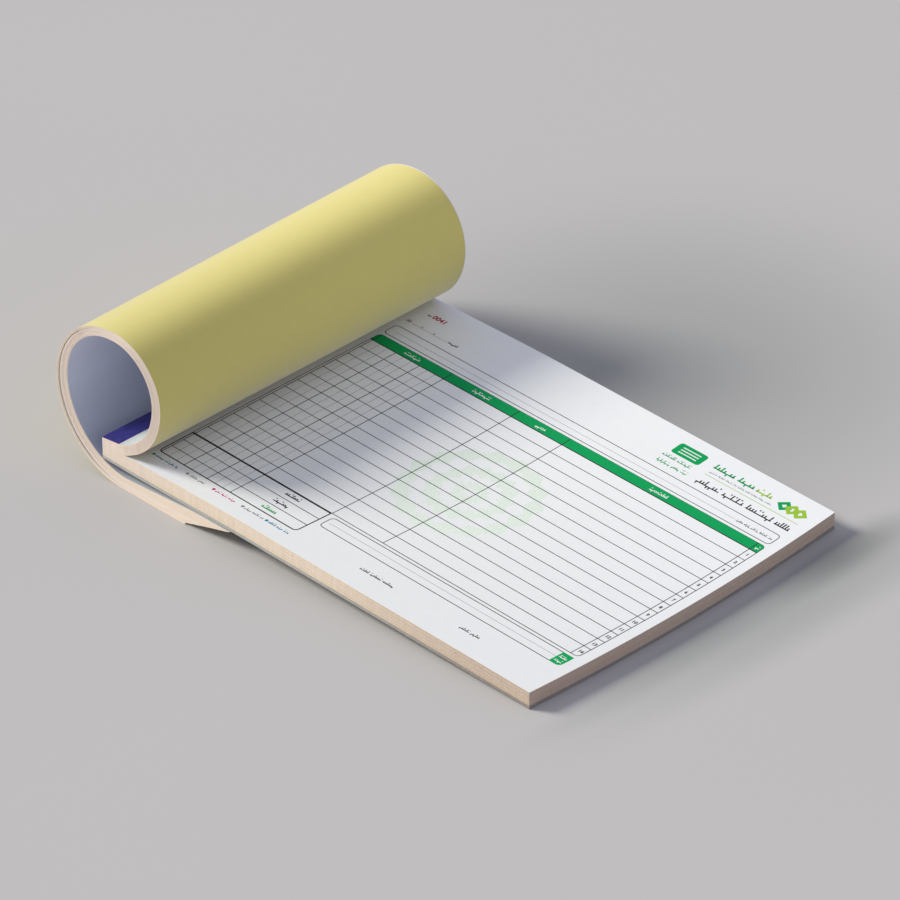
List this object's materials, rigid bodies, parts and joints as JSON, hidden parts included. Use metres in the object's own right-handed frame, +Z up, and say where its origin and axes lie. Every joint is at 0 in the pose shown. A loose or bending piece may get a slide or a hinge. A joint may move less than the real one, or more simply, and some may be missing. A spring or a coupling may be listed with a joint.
{
  "type": "duplicate receipt book",
  "caption": "Landscape pad of duplicate form sets on a grey board, taped along the spine, with its used sets rolled back over the spine and tucked under, and leaves that lift.",
  "frame": {"origin": "on the table, under the middle of the ground that the book covers", "axes": "+X from the spine to the free edge along the longer side, +Y along the spine, +Z up"},
  "size_m": [0.3942, 0.25, 0.1072],
  "materials": {
    "white_paper": "uncoated white copying paper",
    "yellow_paper": "uncoated yellow copying paper",
    "sheet_stack": "cut edges of stacked white and yellow sheets",
    "greyboard": "plain grey board",
    "binding_cloth": "deep blue binding cloth tape",
    "staple_wire": "galvanised flat wire"
  },
  "bodies": {
    "pad": {"backing_board": "greyboard", "binding_tape": "binding_cloth", "binding_staples": "staple_wire", "unused_gathering_1": "sheet_stack", "unused_gathering_2": "sheet_stack", "unused_gathering_3": "sheet_stack", "unused_gathering_4": "sheet_stack", "unused_gathering_5": "sheet_stack", "unused_gathering_6": "sheet_stack", "unused_gathering_7": "sheet_stack", "unused_gathering_8": "sheet_stack", "unused_gathering_9": "sheet_stack", "unused_gathering_10": "sheet_stack", "unused_gathering_11": "sheet_stack", "unused_gathering_12": "sheet_stack", "next_duplicate_stub": "yellow_paper", "next_original_stub": "white_paper", "open_duplicate_stub": "yellow_paper", "open_original_stub": "white_paper", "turned_gathering_1": "white_paper", "turned_gathering_2": "sheet_stack", "turned_gathering_3": "sheet_stack", "turned_gathering_4": "sheet_stack", "turned_gathering_5": "sheet_stack", "turned_gathering_6": "sheet_stack", "turned_gathering_7": "sheet_stack", "turned_gathering_8": "yellow_paper"},
    "next_duplicate": {"next_duplicate": "yellow_paper"},
    "next_original": {"next_original": "white_paper"},
    "open_duplicate": {"open_duplicate": "yellow_paper"},
    "open_original": {"open_original": "white_paper"}
  },
  "joints": [
    {"name": "next_duplicate_lift", "type": "hinge", "parent": "pad", "child": "next_duplicate", "pos_m": [-0.13253, 0, 0.02557], "axis": [0, -1, 0], "range_deg": [0, 4]},
    {"name": "next_original_lift", "type": "hinge", "parent": "next_duplicate", "child": "next_original", "pos_m": [-0.13253, 0, 0.02565], "axis": [0, -1, 0], "range_deg": [0, 4]},
    {"name": "open_duplicate_lift", "type": "hinge", "parent": "next_original", "child": "open_duplicate", "pos_m": [-0.13252, 0, 0.02572], "axis": [0, -1, 0], "range_deg": [0, 6]},
    {"name": "open_original_lift", "type": "hinge", "parent": "open_duplicate", "child": "open_original", "pos_m": [-0.13252, 0, 0.0258], "axis": [0, -1, 0], "range_deg": [0, 12]}
  ]
}
